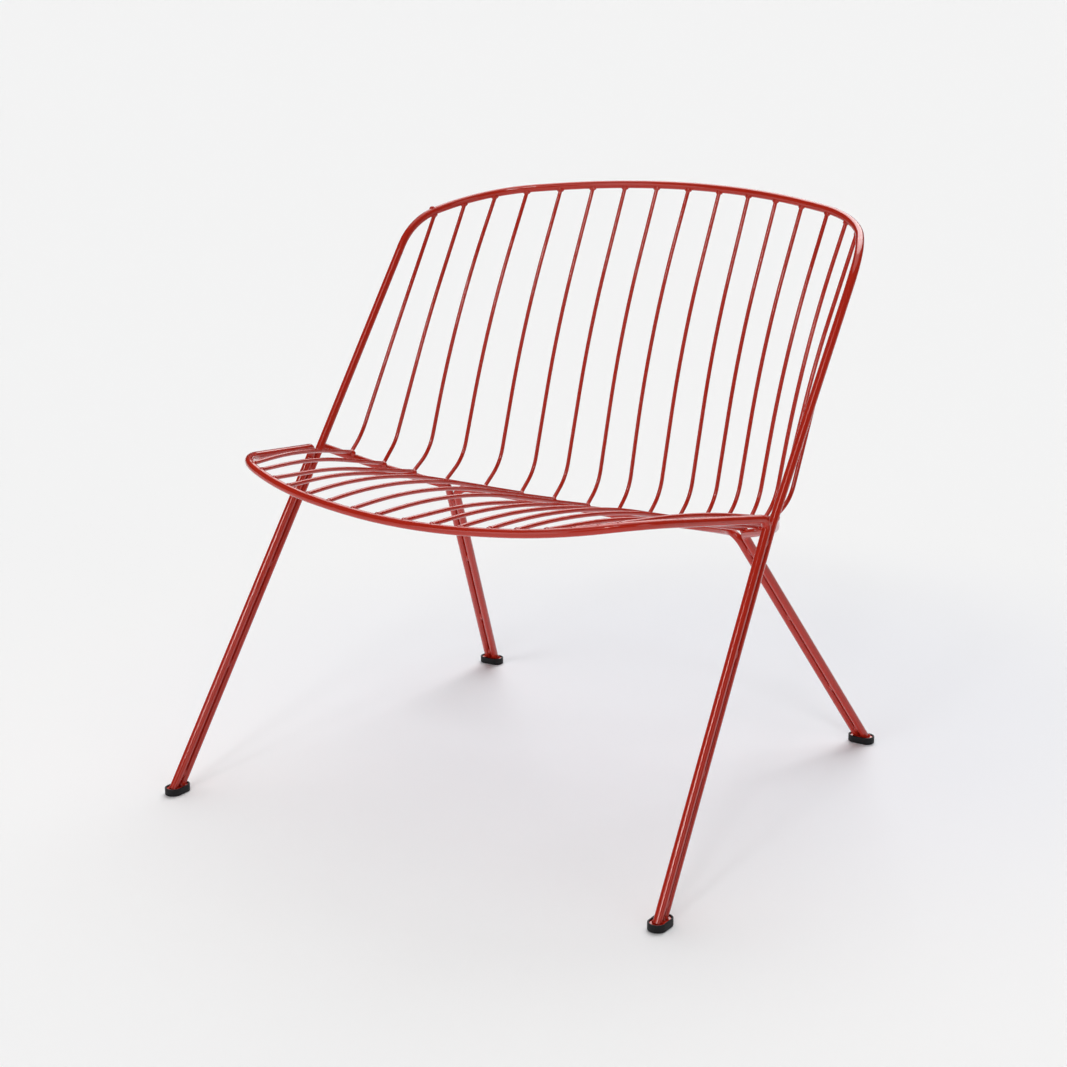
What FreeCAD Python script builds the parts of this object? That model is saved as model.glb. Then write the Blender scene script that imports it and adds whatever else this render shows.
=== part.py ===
import FreeCAD, Part
import math
import os

os.makedirs("parts", exist_ok=True)

Vec = FreeCAD.Vector

# Outdoor lounge chair of welded steel rod: X is the width, the sitter faces -Y, Z is up, the floor is Z = 0.
# Lengths are millimetres. Left and right are the sitter's own.

# Rod and wire stock
rod_dia = 10.0
wire_dia = 5.0
rod_r = rod_dia / 2
wire_r = wire_dia / 2

# Feet: a steel plate under each pair of leg rods, seated in a rubber cup
cup_length = 34.0
cup_width = 21.0
cup_height = 9.0
cup_floor = 4.0
cup_wall = 2.2
cup_edge = 1.0
plate_clear = 0.2
plate_thick = 3.5
plate_top = cup_floor + plate_thick
plate_length = cup_length - 2 * (cup_wall + plate_clear)
plate_width = cup_width - 2 * (cup_wall + plate_clear)

# Spread of the feet across the chair, at the floor
front_spread = 666.0
rear_spread = 573.2

# Back hoop, left half: foot, bend at the seat, corner, shoulder, middle of the top rail
hoop_foot = Vec(front_spread / 2, 1.6, 0.0)
hoop_seat = Vec(316.4, 262.8, 367.0)
hoop_corner = Vec(314.7, 468.4, 638.6)
hoop_shoulder = Vec(266.9, 573.7, 667.6)
hoop_middle = Vec(0.0, 672.1, 692.8)
hoop_seat_bend = 400.0
hoop_corner_bend = 98.0
hoop_shoulder_bend = 158.0
hoop_middle_bend = 515.0

# Seat rim: its front leg rods run beside the hoop's, then it turns forward around the seat
leg_pitch = 10.8
rim_rise = 4.5
rim_corner = Vec(270.0, 65.9, 407.1)
rim_shoulder = Vec(179.2, 26.7, 391.1)
rim_middle = Vec(0.0, 8.3, 375.6)
rim_seat_bend = 9.0
rim_corner_bend = 76.0
rim_shoulder_bend = 390.0
rim_middle_bend = 770.0

# Rear legs: the inner rods carry the crossbar, the outer rods carry the arms
rear_foot = Vec(rear_spread / 2, 607.2, 0.0)
rear_top = Vec(207.2, 398.0, 312.5)
cross_shoulder = Vec(150.0, 446.5, 297.3)
cross_middle = Vec(0.0, 482.0, 282.2)
arm_drop = 2.5
arm_knee = Vec(281.2, 344.0, 338.7)
arm_meet = 376.0
arm_short = 0.5
rear_top_bend = 12.0
cross_shoulder_bend = 180.0
cross_middle_bend = 400.0
arm_knee_bend = 150.0

# Seat and back wires from the middle outwards: place along the width at the top rail, at the crossbar or arm
# and at the rim, bow of the back run, how far the low back bend sits outside, behind and above the crossbar,
# rise of the seat crest. All wires draw in a little to the middle at the waist
wire_rows = [
    (0.0, 0.0, 0.0, 13.0, 0.0, 26.0, 22.5, 17.0),
    (45.2, 45.2, 36.5, 10.0, 0.0, 27.5, 21.0, 22.0),
    (89.5, 91.5, 71.0, 8.5, 0.0, 30.0, 23.0, 23.5),
    (132.5, 133.0, 107.0, 8.5, 0.0, 30.0, 23.5, 26.0),
    (174.0, 173.5, 139.0, 9.5, 0.0, 35.5, 24.5, 23.0),
    (216.2, 216.0, 172.0, 10.0, -1.5, 37.5, 23.5, 13.5),
    (251.5, 247.8, 199.0, 11.0, 1.3, 38.0, 20.0, 6.0),
    (279.5, 275.5, 225.0, 4.5, 0.0, 26.0, 23.5, 8.7),
    (300.0, 298.5, 244.0, 2.0, 5.5, 28.5, 16.0, 7.7),
]
waist_draw = 0.007
wire_sink = 0.4
wire_lift = 3.5
seat_crest = 170.0
seat_bend = 1000.0
back_bend = 1000.0
low_back_bend = 58.0
cross_bend = 7.0

# Weld bridges between the two rods of a leg, as heights up the leg
bridge_length = 9.0
bridge_width = 5.6
front_bridges = [22.0, 138.0, 247.0, 353.0]
rear_bridges = [20.0, 87.0, 193.0, 287.0]


def mirrored(point):
    return Vec(-point.x, point.y, point.z)


def both_sides(points):
    # a list ending on the middle plane, carried on through its mirror image
    return points + [mirrored(p) for p in reversed(points[:-1])]


def path(points, bends):
    # straight runs joined by tangent arcs; bends that would not fit on their shared run are eased together
    runs = [b - a for a, b in zip(points, points[1:])]
    halves = [a.getAngle(b) / 2 for a, b in zip(runs, runs[1:])]
    reaches = [0.0] + [bend * math.tan(half) for bend, half in zip(bends, halves)] + [0.0]
    spare = [min(1.0, 0.98 * run.Length / (a + b)) for run, a, b in zip(runs, reaches, reaches[1:])]
    edges = []
    start = points[0]
    for here, back, ahead, half, reach, ease in zip(
        points[1:], runs, runs[1:], halves, reaches[1:], map(min, spare, spare[1:])
    ):
        reach = reach * ease
        bend = reach / math.tan(half)
        back = Vec(back).normalize()
        ahead = Vec(ahead).normalize()
        crown = here + (ahead - back).normalize() * (bend / math.cos(half) - bend)
        edges.append(Part.LineSegment(start, here - back * reach).toShape())
        edges.append(Part.Arc(here - back * reach, crown, here + ahead * reach).toShape())
        start = here + ahead * reach
    edges.append(Part.LineSegment(start, points[-1]).toShape())
    return Part.Wire(edges)


def swept(line, radius):
    first = line.OrderedEdges[0]
    ring = Part.makeCircle(radius, first.valueAt(first.FirstParameter), first.tangentAt(first.FirstParameter))
    return line.makePipeShell([Part.Wire([ring])], True, False)


def place_at(line, across):
    # the first point along the line whose X is the one asked for
    for edge in line.OrderedEdges:
        low, high = edge.FirstParameter, edge.LastParameter
        if (edge.valueAt(low).x - across) * (edge.valueAt(high).x - across) > 0:
            continue
        rising = edge.valueAt(high).x > edge.valueAt(low).x
        for step in range(48):
            middle = (low + high) / 2
            if (edge.valueAt(middle).x < across) == rising:
                low = middle
            else:
                high = middle
        return edge.valueAt((low + high) / 2)
    raise ValueError("no point at X = %s" % across)


def on_line(low, high, level):
    return low + (high - low) * ((level - low.z) / (high.z - low.z))


def stadium(centre, length, width, height, along_x):
    round_r = width / 2
    run = Vec(length / 2 - round_r, 0, 0) if along_x else Vec(0, length / 2 - round_r, 0)
    side = Vec(0, round_r, 0) if along_x else Vec(-round_r, 0, 0)
    tip = Vec(run).normalize() * round_r
    rim = Part.Wire([
        Part.LineSegment(centre - run - side, centre + run - side).toShape(),
        Part.Arc(centre + run - side, centre + run + tip, centre + run + side).toShape(),
        Part.LineSegment(centre + run + side, centre - run + side).toShape(),
        Part.Arc(centre - run + side, centre - run - tip, centre - run - side).toShape(),
    ])
    return Part.Face(rim).extrude(Vec(0, 0, height))


def foot_cup(centre, along_x):
    cup = stadium(centre, cup_length, cup_width, cup_height, along_x)
    edges = [e for e in cup.Edges if abs(e.BoundBox.ZMin - cup_height) < 0.01]
    cup = cup.makeFillet(cup_edge, edges)
    pocket_length = plate_length + 2 * plate_clear
    pocket_width = plate_width + 2 * plate_clear
    pocket = stadium(centre + Vec(0, 0, cup_floor), pocket_length, pocket_width, cup_height, along_x)
    return cup.cut(pocket)


def bridges(rods, low, high, levels, across):
    # short blocks of weld in the valley between two rods, hollowed by the rods on both sides
    axis = (high - low).normalize()
    blocks = []
    for level in levels:
        middle = on_line(low, high, level)
        side = axis.cross(across).normalize()
        base = middle - axis * (bridge_length / 2) - side * (bridge_width / 2) - across * (leg_pitch / 2)
        face = Part.Face(Part.makePolygon([
            base,
            base + side * bridge_width,
            base + side * bridge_width + across * leg_pitch,
            base + across * leg_pitch,
            base,
        ]))
        blocks.append(face.extrude(axis * bridge_length))
    return Part.makeCompound(blocks).cut(rods)


# Centrelines
leg_axis = (hoop_seat - hoop_foot).normalize()
pair_step = leg_axis.cross(Vec(1, 0, 0)).normalize() * leg_pitch
if pair_step.y > 0:
    pair_step = pair_step * -1
rim_foot = hoop_foot + pair_step
rim_seat = hoop_seat + pair_step + leg_axis * rim_rise

hoop_line = path(
    both_sides([hoop_foot, hoop_seat, hoop_corner, hoop_shoulder, hoop_middle]),
    [hoop_seat_bend, hoop_corner_bend, hoop_shoulder_bend, hoop_middle_bend,
     hoop_shoulder_bend, hoop_corner_bend, hoop_seat_bend],
)
rim_line = path(
    both_sides([rim_foot, rim_seat, rim_corner, rim_shoulder, rim_middle]),
    [rim_seat_bend, rim_corner_bend, rim_shoulder_bend, rim_middle_bend,
     rim_shoulder_bend, rim_corner_bend, rim_seat_bend],
)
rear_axis = (rear_top - rear_foot).normalize()
rear_across = (Vec(1, 0, 0) - rear_axis * rear_axis.x).normalize()
rear_half = rear_across * (leg_pitch / 2)
arm_top = rear_top + rear_half - rear_axis * arm_drop
cross_line = path(
    both_sides([rear_foot - rear_half, rear_top - rear_half, cross_shoulder, cross_middle]),
    [rear_top_bend, cross_shoulder_bend, cross_middle_bend, cross_shoulder_bend, rear_top_bend],
)
# the arm's end stops just short of the middle of the upright that it is coped to
arm_end = on_line(hoop_seat, hoop_corner, arm_meet)
arm_end = arm_end + (arm_knee - arm_end).normalize() * arm_short
arm_line = path(
    [arm_end, arm_knee, arm_top, rear_foot + rear_half],
    [arm_knee_bend, rear_top_bend],
)

front_low = (hoop_foot + rim_foot) * 0.5
front_high = hoop_seat + pair_step * 0.5
front_centre = on_line(front_low, front_high, plate_top)
rear_centre = on_line(rear_foot, rear_top, plate_top)

# The part's own origin is on the floor, midway between the front feet and the back of the top rail
front_edge = front_centre.y - cup_length / 2
back_edge = place_at(hoop_line, 0).y + rod_r
to_origin = Vec(0, -(front_edge + back_edge) / 2, 0)


def save(name, shape):
    shape = shape.Solids[0] if len(shape.Solids) == 1 else shape
    shape.translated(to_origin).exportStep("parts/%s.step" % name)


def other_side(shape):
    return shape.mirror(Vec(0, 0, 0), Vec(1, 0, 0))


# Rods, cut level on the foot plates
below = Part.makeBox(1600, 1600, 200, Vec(-800, -500, plate_top - 200))
back_hoop = swept(hoop_line, rod_r).cut(below)
seat_rim = swept(rim_line, rod_r).cut(below).cut(back_hoop)
rear_crossbar = swept(cross_line, rod_r).cut(below)
arm_left = swept(arm_line, rod_r).cut(below).cut(back_hoop).cut(rear_crossbar)
arm_right = other_side(arm_left)
rods = [back_hoop, seat_rim, rear_crossbar, arm_left, arm_right]

save("back_hoop", back_hoop)
save("seat_rim", seat_rim)
save("rear_crossbar", rear_crossbar)
save("rear_arm_left", arm_left)
save("rear_arm_right", arm_right)


def wire_solid(row):
    top_across, across, front_across, bow, lean, low_back, low_rise, crest_rise = row
    top = place_at(hoop_line, top_across)
    bearer = place_at(cross_line if across < rear_top.x else arm_line, across)
    front = place_at(rim_line, front_across) + Vec(0, 0, wire_lift)
    along = (bearer.y - seat_crest) / (bearer.y - front.y)
    crest = bearer + (front - bearer) * along + Vec(0, 0, rod_r + crest_rise)
    # the crook between the back run and the seat run lies on top of the rod
    up_back = Vec(0, low_back, low_rise).normalize()
    up_seat = (crest - bearer).normalize()
    crook = (up_back + up_seat).normalize()
    half = (math.pi - up_back.getAngle(up_seat)) / 2
    crown = cross_bend / math.cos(half) - cross_bend
    seat = bearer + crook * (rod_r + wire_r - wire_sink - crown)
    low = seat + Vec(lean, low_back, low_rise)
    inward = Vec(1, 0, 0).cross(top - low).normalize()
    waist = (top + low) * 0.5 + inward * (2 * bow)
    waist.x = waist.x * (1 - waist_draw)
    line = path([top, waist, low, seat, crest, front], [back_bend, low_back_bend, cross_bend, seat_bend])
    wire = swept(line, wire_r)
    for rod in rods:
        wire = wire.cut(rod)
    return max(wire.Solids, key=lambda solid: solid.Volume)


# Wires counted from the sitter's right to the sitter's left
middle = len(wire_rows)
for step, row in enumerate(wire_rows):
    wire = wire_solid(row)
    save("seat_wire_%02d" % (middle + step), wire)
    if step:
        save("seat_wire_%02d" % (middle - step), other_side(wire))

# Weld bridges, foot plates and rubber feet
front_rods = Part.makeCompound([back_hoop, seat_rim])
rear_rods = Part.makeCompound([rear_crossbar, arm_left])
front_weld = bridges(front_rods, front_low, front_high, front_bridges, Vec(pair_step).normalize())
rear_weld = bridges(rear_rods, rear_foot, rear_top, rear_bridges, rear_across)

for end, weld, centre, along_x in [
    ("front", front_weld, front_centre, False),
    ("rear", rear_weld, rear_centre, True),
]:
    plate_point = Vec(centre.x, centre.y, cup_floor)
    plate = stadium(plate_point, plate_length, plate_width, plate_thick, along_x)
    cup = foot_cup(Vec(centre.x, centre.y, 0), along_x)
    for name, shape in [("leg_bridges", weld), ("foot_plate", plate), ("foot_cap", cup)]:
        save("%s_%s_left" % (name, end), shape)
        save("%s_%s_right" % (name, end), other_side(shape))
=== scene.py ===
import bmesh
import bpy
import math
from mathutils import Matrix, Vector, noise


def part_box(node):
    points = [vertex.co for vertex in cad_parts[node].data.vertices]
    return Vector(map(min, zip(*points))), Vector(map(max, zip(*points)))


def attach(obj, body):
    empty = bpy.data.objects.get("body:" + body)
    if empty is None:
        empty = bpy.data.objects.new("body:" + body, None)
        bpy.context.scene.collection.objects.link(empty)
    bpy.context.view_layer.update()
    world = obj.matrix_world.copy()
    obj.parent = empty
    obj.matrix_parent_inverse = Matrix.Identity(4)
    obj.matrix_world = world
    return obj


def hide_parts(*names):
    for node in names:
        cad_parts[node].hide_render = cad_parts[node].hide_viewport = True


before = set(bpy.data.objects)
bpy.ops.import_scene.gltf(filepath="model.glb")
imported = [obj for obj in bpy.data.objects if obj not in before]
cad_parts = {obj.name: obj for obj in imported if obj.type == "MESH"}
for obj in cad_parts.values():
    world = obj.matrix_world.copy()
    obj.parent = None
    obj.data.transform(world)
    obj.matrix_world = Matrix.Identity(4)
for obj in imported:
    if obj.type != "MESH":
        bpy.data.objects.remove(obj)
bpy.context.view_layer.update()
mm = 0.001
touch = 0.01 * mm              # points closer than this are one
forward = Vector((0, -1, 0))   # the way a sitter looks
rearward = Vector((0, 1, 0))
leftward = Vector((1, 0, 0))
upward = Vector((0, 0, 1))
print("frame loaded:", len(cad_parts), "nodes")


def hexColour(code):
    # sRGB hex to the linear values Blender's sockets hold
    parts = [int(code[i:i + 2], 16) / 255 for i in (1, 3, 5)]
    return [c / 12.92 if c <= 0.04045 else ((c + 0.055) / 1.055) ** 2.4 for c in parts] + [1.0]


# colour sockets of a Mix node, by number because its other kinds share their names
mixFrom, mixTo, mixed = 6, 7, 2


def addNode(tree, kind, inputs=None, **settings):
    node = tree.nodes.new(kind)
    for name, value in settings.items():
        setattr(node, name, value)
    for name, value in (inputs or {}).items():
        socket = node.inputs[name]
        if isinstance(value, bpy.types.NodeSocket):
            tree.links.new(value, socket)
        else:
            socket.default_value = value
    return node


def newMaterial(name):
    material = bpy.data.materials.new(name)
    material.use_nodes = True
    material.node_tree.nodes.clear()
    return material, material.node_tree


paint = {
    "colour": "#c12e1d",       # the red most of the rods show
    "deep": "#b42819",         # thicker, darker patches of the coat
    "patchMm": 60,             # how far apart the patches lie
    "patchDetail": 3.0,
    "patchSpan": (0.3, 0.7),   # most of the noise lies between these
    "roughness": (0.22, 0.28),
    "ior": 1.5,
    "specular": 0.06,          # low, because the smooth top of the coat has the gloss
    "coat": 0.9,
    "coatRoughness": 0.06,
    "peelMm": 3.0,             # orange peel of a sprayed coat, really about 1 mm, drawn coarser to show
    "peelDetail": 2.0,
    "peelHeightMm": 0.02,
    "peelStrength": 0.25,
}


def makePaint():
    # polyester powder coat, sprayed and baked on steel: an even red under a smooth gloss
    # that draws the lamps as bright lines, with a faint orange peel
    material, tree = newMaterial("red_powder_coat")
    place = addNode(tree, "ShaderNodeTexCoord")
    patches = addNode(tree, "ShaderNodeTexNoise", {
        "Vector": place.outputs["Object"], "Scale": 1 / (paint["patchMm"] * mm),
        "Detail": paint["patchDetail"]})
    tint = addNode(tree, "ShaderNodeMix", {
        "Factor": patches.outputs["Fac"], mixFrom: hexColour(paint["colour"]),
        mixTo: hexColour(paint["deep"])}, data_type="RGBA")
    sheen = addNode(tree, "ShaderNodeMapRange", {
        "Value": patches.outputs["Fac"],
        "From Min": paint["patchSpan"][0], "From Max": paint["patchSpan"][1],
        "To Min": paint["roughness"][0], "To Max": paint["roughness"][1]})
    peel = addNode(tree, "ShaderNodeTexNoise", {
        "Vector": place.outputs["Object"], "Scale": 1 / (paint["peelMm"] * mm),
        "Detail": paint["peelDetail"]})
    bump = addNode(tree, "ShaderNodeBump", {
        "Height": peel.outputs["Fac"], "Strength": paint["peelStrength"],
        "Distance": paint["peelHeightMm"] * mm})
    skin = addNode(tree, "ShaderNodeBsdfPrincipled", {
        "Base Color": tint.outputs[mixed], "Roughness": sheen.outputs["Result"],
        "IOR": paint["ior"], "Specular IOR Level": paint["specular"],
        "Coat Weight": paint["coat"], "Coat Roughness": paint["coatRoughness"],
        "Normal": bump.outputs["Normal"]})
    addNode(tree, "ShaderNodeOutputMaterial", {"Surface": skin.outputs["BSDF"]})
    return material


rubber = {
    "colour": "#0d0d10",
    "dust": "#19191d",         # a little floor dust low down
    "dustMm": 5,               # how high it reaches
    "dustMost": 0.6,
    "grainMm": 1.2,            # moulded grain, really about 0.4 mm, drawn coarser to show
    "grainDetail": 3.0,
    "grainHeightMm": 0.06,
    "grainStrength": 0.5,
    "roughness": 0.55,
    "ior": 1.52,
    "specular": 0.3,
}


def makeRubber():
    # moulded rubber: near black and dull, with a fine grain
    material, tree = newMaterial("black_moulded_rubber")
    place = addNode(tree, "ShaderNodeTexCoord")
    grain = addNode(tree, "ShaderNodeTexNoise", {
        "Vector": place.outputs["Object"], "Scale": 1 / (rubber["grainMm"] * mm),
        "Detail": rubber["grainDetail"]})
    split = addNode(tree, "ShaderNodeSeparateXYZ", {"Vector": place.outputs["Object"]})
    low = addNode(tree, "ShaderNodeMapRange", {
        "Value": split.outputs["Z"], "From Min": 0.0, "From Max": rubber["dustMm"] * mm,
        "To Min": rubber["dustMost"], "To Max": 0.0})
    dusty = addNode(tree, "ShaderNodeMath", {
        0: low.outputs["Result"], 1: grain.outputs["Fac"]}, operation="MULTIPLY")
    tint = addNode(tree, "ShaderNodeMix", {
        "Factor": dusty.outputs["Value"], mixFrom: hexColour(rubber["colour"]),
        mixTo: hexColour(rubber["dust"])}, data_type="RGBA")
    bump = addNode(tree, "ShaderNodeBump", {
        "Height": grain.outputs["Fac"], "Strength": rubber["grainStrength"],
        "Distance": rubber["grainHeightMm"] * mm})
    skin = addNode(tree, "ShaderNodeBsdfPrincipled", {
        "Base Color": tint.outputs[mixed], "Roughness": rubber["roughness"],
        "IOR": rubber["ior"], "Specular IOR Level": rubber["specular"],
        "Normal": bump.outputs["Normal"]})
    addNode(tree, "ShaderNodeOutputMaterial", {"Surface": skin.outputs["BSDF"]})
    return material


redCoat = makePaint()
blackRubber = makeRubber()
for name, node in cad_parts.items():
    node.data.materials.clear()
    node.data.materials.append(blackRubber if name.startswith("foot_cap") else redCoat)
print("powder coat and rubber made")


def addPiece(name, bm, material, standsFor=()):
    # a finished piece sits at the origin and rides on the chair's one body
    bmesh.ops.recalc_face_normals(bm, faces=bm.faces[:])
    for face in bm.faces:
        face.smooth = True
    mesh = bpy.data.meshes.new(name)
    bm.to_mesh(mesh)
    bm.free()
    mesh.materials.append(material)
    piece = bpy.data.objects.new(name, mesh)
    bpy.context.scene.collection.objects.link(piece)
    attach(piece, "root")
    if standsFor:
        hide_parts(*standsFor)


def nodesNamed(start):
    return sorted(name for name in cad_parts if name.startswith(start))


def nodePoints(name):
    return [v.co.copy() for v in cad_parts[name].data.vertices]


def middleOf(points):
    return sum(points, Vector()) / len(points)


def turnTo(along, at):
    # a place whose Z runs along the given direction
    return Matrix.Translation(at) @ along.to_track_quat("Z", "Y").to_matrix().to_4x4()


def joinInto(bm, part):
    carrier = bpy.data.meshes.new("carrier")
    part.to_mesh(carrier)
    part.free()
    bm.from_mesh(carrier)
    bpy.data.meshes.remove(carrier)


def roughen(part, size):
    # the small lumps of a hand weld under its paint
    part.normal_update()
    for vert in part.verts:
        vert.co += vert.normal * size["lumps"] * noise.noise(vert.co / size["lumpSize"])


def addCollar(bm, at, along, size):
    # a weld fillet: wide where it lies on the other steel, drawn in to the rod further along
    part = bmesh.new()
    last = None
    for step in range(size["rings"] + 1):
        share = step / size["rings"]
        drawnIn = math.sin(share * math.pi / 2)
        reach = size["tight"] + (size["wide"] - size["tight"]) * (1 - drawnIn)
        point = part.verts.new((reach, 0, -size["sunk"] + (size["sunk"] + size["rise"]) * share))
        if last:
            part.edges.new((last, point))
        last = point
    bmesh.ops.spin(part, geom=part.verts[:] + part.edges[:], axis=(0, 0, 1), cent=(0, 0, 0),
                   angle=2 * math.pi, steps=size["sides"], use_merge=True)
    bmesh.ops.remove_doubles(part, verts=part.verts[:], dist=touch)
    bmesh.ops.holes_fill(part, edges=part.edges[:], sides=0)    # 0 is any number of sides
    bmesh.ops.recalc_face_normals(part, faces=part.faces[:])
    bmesh.ops.transform(part, matrix=turnTo(along, at), verts=part.verts[:])
    roughen(part, size)
    joinInto(bm, part)


beadDivisions = 3              # how finely a bead's ball is divided


def addBead(bm, at, along, facing, size):
    # a drop or run of weld: a ball drawn out along the seam
    part = bmesh.new()
    bmesh.ops.create_icosphere(part, subdivisions=beadDivisions, radius=1)
    across = along.cross(facing).normalized()
    front = across.cross(along).normalized()
    shape = Matrix((across * size["across"], front * size["deep"],
                    along.normalized() * size["long"])).transposed()
    bmesh.ops.transform(part, matrix=Matrix.Translation(at) @ shape.to_4x4(), verts=part.verts[:])
    roughen(part, size)
    joinInto(bm, part)


def rodEnd(points, way, size):
    # middle of the rod's end that lies furthest along a way, and the direction back along the rod
    reach = max(p.dot(way) for p in points)
    ends = [p for p in points if reach - p.dot(way) < size["long"]]
    tip = middleOf(ends)
    ahead = [p for p in points if (p - tip).length > size["clear"]]
    nearest = min((p - tip).length for p in ahead)
    after = [p for p in ahead if (p - tip).length < nearest + size["next"]]
    back = (middleOf(after) - tip).normalized()
    side = back.orthogonal().normalized()
    for across in (side, back.cross(side)):
        spans = [(p - tip).dot(across) for p in ends]
        tip = tip + across * (min(spans) + max(spans)) / 2
    return tip, back


wireNames = nodesNamed("seat_wire")
wireEnd = {"long": 9 * mm, "clear": 12 * mm, "next": 6 * mm}    # how much of a wire is its end


def weldWireEnds(bm, ends, welds):
    # a drop of weld lies along the rail or rim, drawn up the wire by a small fillet
    for spot, (tip, back) in enumerate(ends):
        along = ends[min(spot + 1, len(ends) - 1)][0] - ends[max(spot - 1, 0)][0]
        addCollar(bm, tip, back, welds["fillet"])
        addBead(bm, tip + back * welds["drop"]["out"], along, forward, welds["drop"])


railWelds = {
    "way": (0, 0.3, 1),        # up the leaning back
    "fillet": {"tight": 2.45 * mm, "wide": 3.6 * mm, "rise": 4.5 * mm, "sunk": 1.0 * mm,
               "rings": 8, "sides": 20, "lumps": 0.2 * mm, "lumpSize": 3 * mm},
    "drop": {"across": 2.7 * mm, "deep": 3.3 * mm, "long": 4.9 * mm, "out": 0.4 * mm,
             "lumps": 0.3 * mm, "lumpSize": 3 * mm},
    "knob": {"across": 3.7 * mm, "deep": 3.9 * mm, "long": 4.4 * mm, "out": 11.4 * mm,
             "aside": 7.0 * mm, "lumps": 0.2 * mm, "lumpSize": 3 * mm},
}


def makeRailWelds():
    bm = bmesh.new()
    way = Vector(railWelds["way"])
    ends = [rodEnd(nodePoints(wire), way, wireEnd) for wire in wireNames]
    weldWireEnds(bm, ends, railWelds)
    # one knob of weld shows on top of the rail, by the first wire
    knob = railWelds["knob"]
    tip, back = ends[0]
    along = (ends[1][0] - tip).normalized()
    addBead(bm, tip - back * knob["out"] - along * knob["aside"], along, forward, knob)
    addPiece("rail_welds", bm, redCoat)


rimWelds = {
    "fillet": {"tight": 2.45 * mm, "wide": 3.0 * mm, "rise": 3.0 * mm, "sunk": 0.5 * mm,
               "rings": 6, "sides": 20, "lumps": 0.15 * mm, "lumpSize": 3 * mm},
    "drop": {"across": 2.4 * mm, "deep": 2.6 * mm, "long": 3.5 * mm, "out": 0.8 * mm,
             "lumps": 0.2 * mm, "lumpSize": 3 * mm},
}


def makeRimWelds():
    bm = bmesh.new()
    ends = [rodEnd(nodePoints(wire), forward, wireEnd) for wire in wireNames]
    weldWireEnds(bm, ends, rimWelds)
    addPiece("rim_welds", bm, redCoat)


crookWeld = {"across": 5.2 * mm, "deep": 4.6 * mm, "long": 4.2 * mm, "lumps": 0.4 * mm,
             "lumpSize": 4 * mm, "sink": 0.5 * mm, "crookDeep": 1.5 * mm}


def makeCrookWelds():
    # a bead under the lowest bend of each wire, where it lies on the bar or an arm
    bm = bmesh.new()
    for wire in wireNames:
        points = nodePoints(wire)
        lowest = min(p.z for p in points)
        crook = middleOf([p for p in points if p.z - lowest < crookWeld["crookDeep"]])
        addBead(bm, crook - upward * crookWeld["sink"], rearward, upward, crookWeld)
    addPiece("crook_welds", bm, redCoat)


armWelds = {
    "end": {"long": 12 * mm, "clear": 16 * mm, "next": 8 * mm},    # how much of an arm is its end
    "fillet": {"tight": 4.9 * mm, "wide": 5.7 * mm, "rise": 3.5 * mm, "sunk": 1.0 * mm,
               "rings": 8, "sides": 28, "lumps": 0.3 * mm, "lumpSize": 4 * mm},
}


def makeArmWelds():
    # the fillet where each rear arm is coped to the upright
    bm = bmesh.new()
    for name in nodesNamed("rear_arm"):
        tip, back = rodEnd(nodePoints(name), upward, armWelds["end"])
        addCollar(bm, tip, back, armWelds["fillet"])
    addPiece("arm_welds", bm, redCoat)


legRun = {"across": 2.9 * mm, "deep": 4.3 * mm, "long": 7.0 * mm, "lumps": 0.4 * mm,
          "lumpSize": 4 * mm, "apart": 15 * mm}    # the runs on a leg lie further apart than that


def legRunSpots(name):
    # middles of a leg's weld runs from the floor up, and the direction up the leg
    groups = [[]]
    for point in sorted(nodePoints(name), key=lambda p: p.z):
        if groups[-1] and point.z - groups[-1][-1].z > legRun["apart"]:
            groups.append([])
        groups[-1].append(point)
    spots = [middleOf(group) for group in groups]
    return spots, (spots[-1] - spots[0]).normalized()


def makeLegRuns():
    # weld runs in the valley between the two rods of each leg
    for name in nodesNamed("leg_bridges"):
        bm = bmesh.new()
        spots, along = legRunSpots(name)
        for spot in spots:
            addBead(bm, spot, along, leftward if "front" in name else rearward, legRun)
        addPiece(name.replace("bridges", "weld_runs"), bm, redCoat, [name])


footWeld = {"tight": 4.95 * mm, "wide": 6.6 * mm, "rise": 3.0 * mm, "sunk": 0.8 * mm,
            "rings": 6, "sides": 28, "lumps": 0.25 * mm, "lumpSize": 4 * mm,
            "seat": 8 * mm}    # only the foot of a rod lies below this height


def makeFootWelds():
    # the flare of each leg rod on its foot plate
    bm = bmesh.new()
    for side, sign in (("left", 1), ("right", -1)):
        for end, rods in (("front", ("back_hoop", "seat_rim")),
                          ("rear", ("rear_crossbar", "rear_arm_" + side))):
            along = legRunSpots("leg_bridges_%s_%s" % (end, side))[1]
            for rod in rods:
                seat = middleOf([p for p in nodePoints(rod)
                                 if p.z < footWeld["seat"] and p.x * sign > 0])
                addCollar(bm, seat, along, footWeld)
    addPiece("foot_welds", bm, redCoat)


footCup = {
    "sides": 48,
    "length": 34 * mm,
    "width": 21 * mm,
    "height": 9 * mm,
    "wall": 2.2 * mm,
    "floor": 4 * mm,
    "tread": 1.4 * mm,         # rounding of the lower edge
    "lip": 0.7 * mm,           # and of the two upper ones
    "roundSteps": 4,
    "sharp": 1.0,              # radians, the lip's edges turn more than this
}


def pulledUp(bm, faces, rise):
    # draws faces out to a new height and gives the faces at that height
    grown = bmesh.ops.extrude_face_region(bm, geom=faces)
    moved = [e for e in grown["geom"] if isinstance(e, bmesh.types.BMFace)]
    bmesh.ops.translate(bm, vec=(0, 0, rise), verts=list(moved[0].verts))
    return moved


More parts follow.
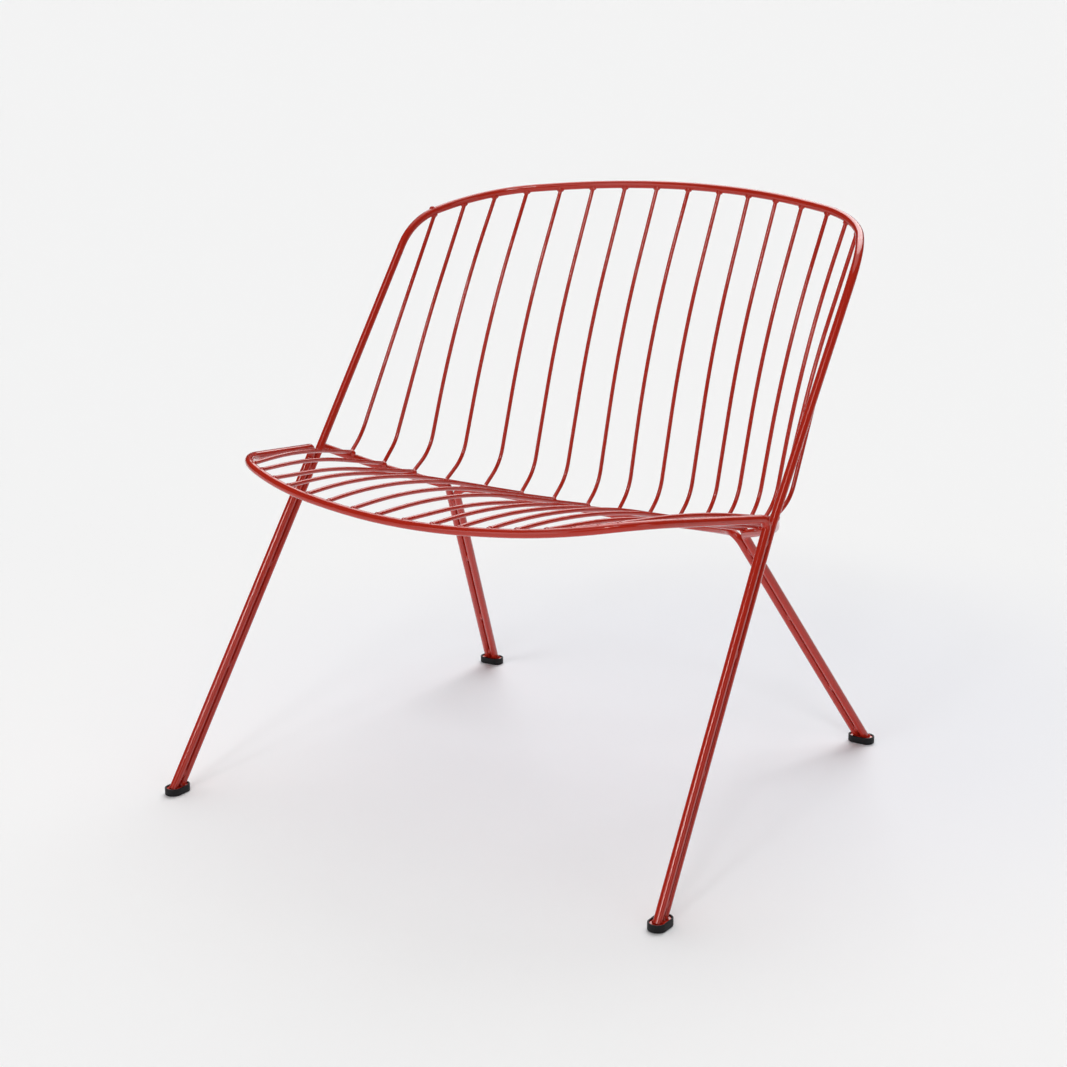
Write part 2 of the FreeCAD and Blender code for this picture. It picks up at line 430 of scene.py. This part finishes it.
def makeFootCup(name):
    # an oval cup with a rounded tread and lip
    low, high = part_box(name)
    centre = (low + high) / 2
    lengthways = high.x - low.x > high.y - low.y
    bm = bmesh.new()
    bmesh.ops.create_circle(bm, cap_ends=True, segments=footCup["sides"],
                            radius=footCup["width"] / 2)
    run = (footCup["length"] - footCup["width"]) / 2
    for vert in bm.verts:
        vert.co.x += math.copysign(run, vert.co.x)
    top = pulledUp(bm, bm.faces[:], footCup["height"])
    bmesh.ops.recalc_face_normals(bm, faces=bm.faces[:])
    bmesh.ops.inset_region(bm, faces=top, thickness=footCup["wall"], use_even_offset=True)
    pulledUp(bm, top, footCup["floor"] - footCup["height"])
    bmesh.ops.delete(bm, geom=top, context="FACES_ONLY")
    tread = [e for e in bm.edges if all(v.co.z < touch for v in e.verts)]
    bmesh.ops.bevel(bm, geom=tread, offset=footCup["tread"], affect="EDGES",
                    segments=footCup["roundSteps"], profile=0.5, material=-1)
    lip = [e for e in bm.edges if all(v.co.z > footCup["height"] - touch for v in e.verts)
           and len(e.link_faces) == 2 and e.calc_face_angle() > footCup["sharp"]]
    bmesh.ops.bevel(bm, geom=lip, offset=footCup["lip"], affect="EDGES",
                    segments=footCup["roundSteps"], profile=0.5, material=-1)
    turn = Matrix.Rotation(0 if lengthways else math.pi / 2, 4, "Z")
    place = Matrix.Translation((centre.x, centre.y, low.z)) @ turn
    bmesh.ops.transform(bm, matrix=place, verts=bm.verts[:])
    addPiece(name.replace("foot_cap", "rubber_foot"), bm, blackRubber, [name])


makeRailWelds()
makeRimWelds()
makeCrookWelds()
makeArmWelds()
makeLegRuns()
makeFootWelds()
print("welds made")
for name in nodesNamed("foot_cap"):
    makeFootCup(name)
print("rubber feet made")

floorWithPaintedShade = {
    # near is painted shade: the floor is drawn darker where the chair's soft shadow falls
    "near": "#ecedf1",
    "far": "#f4f4f4",
    "shadeInnerM": 0.25,            # the near tone, painted shade under the chair, fades to the far one between these
    "shadeOuterM": 0.95,
    "shadeMiddleM": (0.05, 0.32, 0.0),
    "sizeM": 120,              # reaches the horizon in every view
}


def makeFloor():
    # plain pale studio floor, with painted shade: a little deeper in tone under the chair, where its
    # soft shadow falls
    bm = bmesh.new()
    bmesh.ops.create_grid(bm, x_segments=1, y_segments=1, size=floorWithPaintedShade["sizeM"])
    mesh = bpy.data.meshes.new("floor")
    bm.to_mesh(mesh)
    bm.free()
    floor = bpy.data.objects.new("floor", mesh)
    bpy.context.scene.collection.objects.link(floor)
    material, tree = newMaterial("pale_floor_painted_shade")
    place = addNode(tree, "ShaderNodeTexCoord")
    reach = addNode(tree, "ShaderNodeVectorMath", {
        0: place.outputs["Object"], 1: floorWithPaintedShade["shadeMiddleM"]}, operation="DISTANCE")
    shadeFade = addNode(tree, "ShaderNodeMapRange", {
        "Value": reach.outputs["Value"], "From Min": floorWithPaintedShade["shadeInnerM"],
        "From Max": floorWithPaintedShade["shadeOuterM"]}, interpolation_type="SMOOTHSTEP")
    # painted shade: the near tone under the chair fades out to the far tone
    tint = addNode(tree, "ShaderNodeMix", {
        "Factor": shadeFade.outputs["Result"], mixFrom: hexColour(floorWithPaintedShade["near"]),
        mixTo: hexColour(floorWithPaintedShade["far"])}, data_type="RGBA")
    skin = addNode(tree, "ShaderNodeBsdfDiffuse", {"Color": tint.outputs[mixed]})
    addNode(tree, "ShaderNodeOutputMaterial", {"Surface": skin.outputs["BSDF"]})
    mesh.materials.append(material)


studio = {
    "air": "#ffffff",
    "airStrength": 0.02,
    "backdrop": "#f3f3f3",
    "lamps": [
        # three narrow soft boxes draw the bright lines down the legs
        {"name": "boxRight", "from": (0.28, -0.7, 0.655), "strength": 0.32, "spreadDeg": 8},
        {"name": "boxLeft", "from": (0.03, -0.675, 0.735), "strength": 0.3, "spreadDeg": 8},
        {"name": "boxTop", "from": (0.15, -0.53, 0.83), "strength": 0.14, "spreadDeg": 9},
        # the wide ones light the chair and the floor evenly
        {"name": "keyLamp", "from": (-0.16, -0.85, 0.6), "strength": 0.2, "spreadDeg": 25},
        {"name": "lowLamp", "from": (-0.3, -1.0, 0.08), "strength": 0.5, "spreadDeg": 35},
        {"name": "topLamp", "from": (-0.1, 0.3, 1.0), "strength": 1.0, "spreadDeg": 60},
        {"name": "sideLamp", "from": (0.9, -0.3, 0.3), "strength": 0.18, "spreadDeg": 24},
        {"name": "backLamp", "from": (-0.3, 0.85, 0.85), "strength": 1.95, "spreadDeg": 55},
    ],
}


def makeStudio():
    scene = bpy.context.scene
    world = bpy.data.worlds.new("studio")
    world.use_nodes = True
    tree = world.node_tree
    tree.nodes.clear()
    air = addNode(tree, "ShaderNodeBackground", {
        "Color": hexColour(studio["air"]), "Strength": studio["airStrength"]})
    # the camera sees a pale backdrop past the floor's edge, which lights nothing
    backdrop = addNode(tree, "ShaderNodeBackground", {"Color": hexColour(studio["backdrop"])})
    rays = addNode(tree, "ShaderNodeLightPath")
    seen = addNode(tree, "ShaderNodeMixShader", {
        0: rays.outputs["Is Camera Ray"], 1: air.outputs["Background"],
        2: backdrop.outputs["Background"]})
    addNode(tree, "ShaderNodeOutputWorld", {"Surface": seen.outputs["Shader"]})
    scene.world = world
    for lamp in studio["lamps"]:
        light = bpy.data.lights.new(lamp["name"], "SUN")
        light.energy = lamp["strength"]
        light.angle = math.radians(lamp["spreadDeg"])
        holder = bpy.data.objects.new(lamp["name"], light)
        holder.rotation_euler = Vector(lamp["from"]).to_track_quat("Z", "Y").to_euler()
        scene.collection.objects.link(holder)
    scene.view_settings.view_transform = "Standard"


camera = {
    "at": (1.30385, -2.04774, 0.97201),
    "turn": 0.5761,            # radians round the chair from straight ahead
    "dip": 0.2702,             # radians below level
    "focalPx": 2100,
    "imagePx": 1067,
    "sensorMm": 36,
}


def makeCamera():
    data = bpy.data.cameras.new("camera")
    data.sensor_width = camera["sensorMm"]
    data.lens = camera["focalPx"] / camera["imagePx"] * camera["sensorMm"]
    view = bpy.data.objects.new("camera", data)
    view.location = camera["at"]
    view.rotation_euler = (math.pi / 2 - camera["dip"], 0, camera["turn"])
    bpy.context.scene.collection.objects.link(view)
    bpy.context.scene.camera = view


makeFloor()
makeStudio()
makeCamera()
print("floor, light and camera set")
